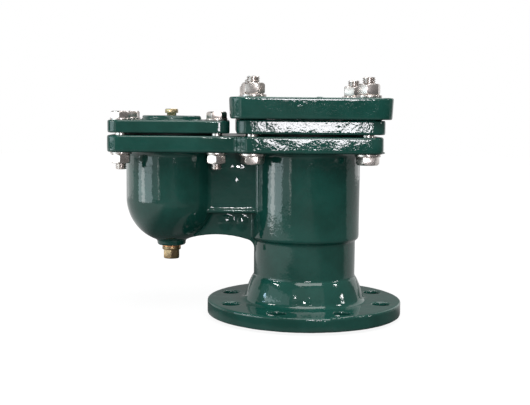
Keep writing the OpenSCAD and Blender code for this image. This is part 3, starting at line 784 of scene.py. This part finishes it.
def corners(x, span):
    """Gives the four corners of a square about a point on the X axis, going round it."""
    return [(x + span, span), (x - span, span), (x - span, -span), (x + span, -span)]


LARGE_FLATS = 22 * MM
LARGE_RADIUS = 7 * MM
LARGE_WASHER = (15 * MM, 28 * MM)
LARGE_HEAD_Z = (175 * MM, 184 * MM)
LARGE_LOW_WASHER_Z = (184 * MM, 187 * MM)
LARGE_TOP_WASHER_Z = (246.5 * MM, 249.5 * MM)
LARGE_NUT_Z = (249.5 * MM, 261.5 * MM)
LARGE_THREAD_Z = (247 * MM, 268.5 * MM)
large_places = corners(0, 61.5 * MM)
large_head = hex_block("large_head", LARGE_FLATS, *LARGE_HEAD_Z, chamfer_high=False)
large_shank = turn("large_shank", [
    (0, 183 * MM), (LARGE_RADIUS, 183 * MM), (LARGE_RADIUS, 248 * MM), (6.4 * MM, 249 * MM), (0, 249 * MM),
], 32)
large_thread = threaded_rod("large_thread", LARGE_RADIUS, 2 * MM, *LARGE_THREAD_Z, 1.2 * MM)
large_bolt = join_pieces("large_bolt", [large_head, large_shank, large_thread])
set_of_four("large_bolt_set", large_bolt, large_places, (10, 20, -8, 0), "large_bolts")
large_low_washer = flat_washer("large_low_washer", *LARGE_WASHER, *LARGE_LOW_WASHER_Z)
set_of_four("large_head_washer_set", large_low_washer, large_places, (5, 70, 130, 200), "large_head_washers")
large_top_washer = flat_washer("large_top_washer", *LARGE_WASHER, *LARGE_TOP_WASHER_Z)
set_of_four("large_nut_washer_set", large_top_washer, large_places, (35, 80, 160, 240), "large_nut_washers")
large_nut = hex_nut("large_nut", LARGE_FLATS, LARGE_RADIUS, *LARGE_NUT_Z)
set_of_four("large_nut_set", large_nut, large_places, (25, 5, -12, 12), "large_nuts")


# Small bolts: four M12 stainless bolts that hold the nozzle cover, heads on top and nuts under the plate.
# Each has a washer under its head and another over its nut, and its end stands out below.
SMALL_FLATS = 19 * MM
SMALL_RADIUS = 6 * MM
SMALL_WASHER = (13 * MM, 23 * MM)
SMALL_HEAD_Z = (223 * MM, 230.5 * MM)
SMALL_TOP_WASHER_Z = (221 * MM, 223 * MM)
SMALL_LOW_WASHER_Z = (185 * MM, 187 * MM)
SMALL_NUT_Z = (175 * MM, 185 * MM)
SMALL_THREAD_Z = (168.5 * MM, 188 * MM)
small_places = corners(BOWL_AXIS_X, 51 * MM)
small_head = hex_block("small_head", SMALL_FLATS, *SMALL_HEAD_Z, chamfer_low=False)
small_shank = turn("small_shank", [
    (0, 187 * MM), (SMALL_RADIUS, 187 * MM), (SMALL_RADIUS, 224 * MM), (0, 224 * MM),
], 32)
small_thread = threaded_rod(
    "small_thread", SMALL_RADIUS, 1.75 * MM, -SMALL_THREAD_Z[1], -SMALL_THREAD_Z[0], 1.0 * MM,
)
pick(small_thread)
small_thread.rotation_euler = (math.pi, 0, 0)
bpy.ops.object.transform_apply(location=True, rotation=True, scale=True)
small_bolt = join_pieces("small_bolt", [small_head, small_shank, small_thread])
set_of_four("small_bolt_set", small_bolt, small_places, (12, 18, 27, 0), "small_bolts")
small_top_washer = flat_washer("small_top_washer", *SMALL_WASHER, *SMALL_TOP_WASHER_Z)
set_of_four(
    "small_head_washer_set", small_top_washer, small_places, (15, 95, 140, 260), "small_head_washers",
)
small_low_washer = flat_washer("small_low_washer", *SMALL_WASHER, *SMALL_LOW_WASHER_Z)
set_of_four("small_nut_washer_set", small_low_washer, small_places, (25, 75, 150, 210), "small_nut_washers")
small_nut = hex_nut("small_nut", SMALL_FLATS, SMALL_RADIUS, *SMALL_NUT_Z)
set_of_four("small_nut_set", small_nut, small_places, (8, 22, 30, 28), "small_nuts")


# Studio: a plain pale floor, soft lamps and a camera where the photograph was taken from.
# The floor and the world are white to the camera and dimmer to the object, so that they add little light.
WHITE = (1.0, 1.0, 1.0)
WARM = (1.0, 0.97, 0.95)
AMBER = (1.0, 0.95, 0.9)
ROSE = (0.99, 0.96, 1.0)
PALE_SKY = (0.85, 0.96, 1.0)
SKY = (0.8, 0.95, 1.0)
BLUE = (0.55, 0.78, 1.0)
FLOOR_LEAST_SHARE = 0.06


def add_softbox(name, centre, aim, width, height, watts, colour=WHITE):
    """Adds one soft rectangular lamp that faces a point."""
    lamp = bpy.data.lights.new(name, "AREA")
    lamp.shape = "RECTANGLE"
    lamp.size = width
    lamp.size_y = height
    lamp.energy = watts
    lamp.color = colour
    softbox = bpy.data.objects.new(name, lamp)
    bpy.context.collection.objects.link(softbox)
    softbox.location = centre
    away = softbox.location - Vector(aim)
    softbox.rotation_euler = away.to_track_quat("Z", "Y").to_euler()


def add_white_share(tree, plain, glossy):
    """Gives 1 to camera and transmission rays, and lesser shares to glossy and to plain ones."""
    rays = tree.nodes.new("ShaderNodeLightPath").outputs
    seen = add_math(tree, "MAXIMUM", rays["Is Camera Ray"], rays["Is Transmission Ray"])
    mirrored = add_math(tree, "MULTIPLY", rays["Is Glossy Ray"], glossy)
    return add_math(tree, "MAXIMUM", add_math(tree, "MAXIMUM", seen, mirrored), plain)


bpy.ops.object.select_all(action="DESELECT")
bpy.ops.mesh.primitive_circle_add(vertices=96, radius=4.0, fill_type="NGON", location=(0, 0, 0))
floor = bpy.context.object
floor.name = "studio_floor"
floor_finish, floor_tree, floor_shader, floor_place = new_finish("studio_floor")
floor_grain = add_noise(floor_tree, floor_place, 60.0, 3.0)
floor_colour = add_mix(floor_tree, floor_grain.outputs["Fac"], (0.09, 0.09, 0.09), (0.11, 0.11, 0.11))
floor_tree.links.new(floor_colour, floor_shader.inputs["Base Color"])
floor_shader.inputs["Roughness"].default_value = 0.9
floor_shader.inputs["Specular IOR Level"].default_value = 0.0
floor_shader.inputs["Emission Color"].default_value = (*WHITE, 1.0)
floor_reach = floor_tree.nodes.new("ShaderNodeVectorMath")
floor_reach.operation = "LENGTH"
floor_tree.links.new(floor_place, floor_reach.inputs[0])
floor_axes = floor_tree.nodes.new("ShaderNodeSeparateXYZ")
floor_tree.links.new(floor_place, floor_axes.inputs["Vector"])
floor_x = floor_axes.outputs["X"]
floor_y = floor_axes.outputs["Y"]
floor_far = floor_reach.outputs["Value"]
floor_white = add_ramp(floor_tree, floor_far, 0.25, 0.9, 0.91, 1.0)


def add_floor_patch(share, *spans):
    """Gives the share of white that a patch of the floor mirrors, with soft ends along each span."""
    patch = share
    for place, low, high in spans:
        patch = add_math(floor_tree, "MULTIPLY", add_ramp(floor_tree, place, low, high), patch)
    return patch


floor_right_share = add_floor_patch(0.55, (floor_x, 0.0, 0.2), (floor_y, -0.03, 0.06))
floor_left_share = add_floor_patch(0.85, (floor_x, -0.2, -0.32), (floor_y, -0.75, -0.5))
floor_ring_share = add_floor_patch(
    0.32, (floor_far, 0.16, 0.135), (floor_x, 0.09, 0.02), (floor_y, 0.03, -0.02),
)
floor_front_share = add_floor_patch(
    0.24, (floor_y, -0.25, -0.4), (floor_x, 0.35, 0.15), (floor_y, -3.2, -2.6),
)
floor_mirrored = add_math(floor_tree, "MAXIMUM", floor_front_share, FLOOR_LEAST_SHARE)
for floor_share in (floor_right_share, floor_left_share, floor_ring_share):
    floor_mirrored = add_math(floor_tree, "MAXIMUM", floor_mirrored, floor_share)
floor_glow = add_math(floor_tree, "MULTIPLY", add_white_share(floor_tree, 0.0, floor_mirrored), floor_white)
floor_tree.links.new(floor_glow, floor_shader.inputs["Emission Strength"])
floor.data.materials.append(floor_finish)

studio = bpy.data.worlds.new("studio")
bpy.context.scene.world = studio
studio.use_nodes = True
studio_light = studio.node_tree.nodes["Background"]
studio_light.inputs["Color"].default_value = (*WHITE, 1.0)
studio.node_tree.links.new(add_white_share(studio.node_tree, 0.06, 0.25), studio_light.inputs["Strength"])

add_softbox("left_slit_lamp", (-0.93, -0.265, 0.068), (-0.1, 0, 0.12), 0.14, 0.136, 0.21, WARM)
add_softbox("left_edge_lamp", (-0.75, -1.05, 0.1), (-0.05, 0, 0.12), 0.03, 0.2, 0.057, AMBER)
add_softbox("left_front_panel", (-0.78, -0.85, 0.3), (-0.05, 0, 0.12), 0.41, 0.6, 0.6, PALE_SKY)
add_softbox("left_spot_lamp", (-1.004, -0.03, 0.313), (-0.04, -0.04, 0.03), 0.05, 0.08, 0.2, BLUE)
add_softbox("left_high_lamp", (-0.9, -0.26, 0.7), (-0.06, -0.09, 0.04), 0.3, 0.04, 2.0)
add_softbox("left_upper_panel", (-0.946, -0.354, 0.46), (-0.05, 0, 0.05), 0.64, 0.2, 0.34, PALE_SKY)
add_softbox("right_spot_lamp", (1.074, -0.255, 0.334), (0.04, -0.05, 0.03), 0.05, 0.07, 0.35)
add_softbox("left_window_low", (-0.946, -0.354, 0.069), (-0.15, 0, 0.1), 0.64, 0.137, 0.95, SKY)
add_softbox("left_window_high", (-0.946, -0.354, 0.258), (-0.15, 0, 0.25), 0.64, 0.165, 1.15, SKY)
add_softbox("front_softbox", (0.16, -1.75, 0.285), (0.0, 0, 0.25), 0.3, 0.24, 5.6, ROSE)
add_softbox("front_lamp_right", (0.173, -1.316, 0.634), (0.0, 0, 0.03), 0.026, 0.026, 0.1)
add_softbox("front_lamp_left", (-0.493, -1.226, 0.645), (-0.01, 0, 0.03), 0.026, 0.026, 0.22)
add_softbox("front_panel", (0.1, -1.4, 0.87), (0.0, 0, 0.05), 1.8, 0.5, 0.95)
add_softbox("centre_lamp", (-0.07, -1.27, 0.455), (-0.08, 0, 0.12), 0.06, 0.03, 1.6)
add_softbox("top_softbox", (0.1, -0.6, 1.3), (-0.05, 0, 0.14), 1.2, 1.0, 18.0)
add_softbox("back_high_lamp", (0.1, 1.0, 1.3), (-0.05, 0, 0.14), 0.8, 0.5, 9.0)
add_softbox("right_lamp", (1.05, -0.3, 0.75), (0.0, 0, 0.1), 0.14, 0.14, 2.0)
add_softbox("back_softbox_right", (0.75, 0.8, 0.5), (-0.05, 0, 0.14), 0.7, 0.9, 1.6)
add_softbox("back_softbox_left", (-1.02, 0.68, 0.45), (-0.15, 0, 0.14), 0.9, 0.9, 1.6)

camera_lens = bpy.data.cameras.new("photo_camera")
camera_lens.sensor_fit = "HORIZONTAL"
camera_lens.sensor_width = 36.0
camera_lens.lens = 64.75
camera = bpy.data.objects.new("photo_camera", camera_lens)
bpy.context.collection.objects.link(camera)
camera_turn = Matrix.Rotation(math.radians(-2.289), 4, "Z")
camera_tilt = Matrix.Rotation(math.radians(90 - 5.538), 4, "X")
camera_roll = Matrix.Rotation(math.radians(0.55), 4, "Z")
camera_aim = Matrix.Translation((-0.0454, 0.0, 0.1284))
camera_back = Matrix.Translation((0.0, 0.0, 1.08138))
camera.matrix_world = camera_aim @ camera_turn @ camera_tilt @ camera_roll @ camera_back
bpy.context.scene.camera = camera
bpy.context.scene.view_settings.view_transform = "Standard"
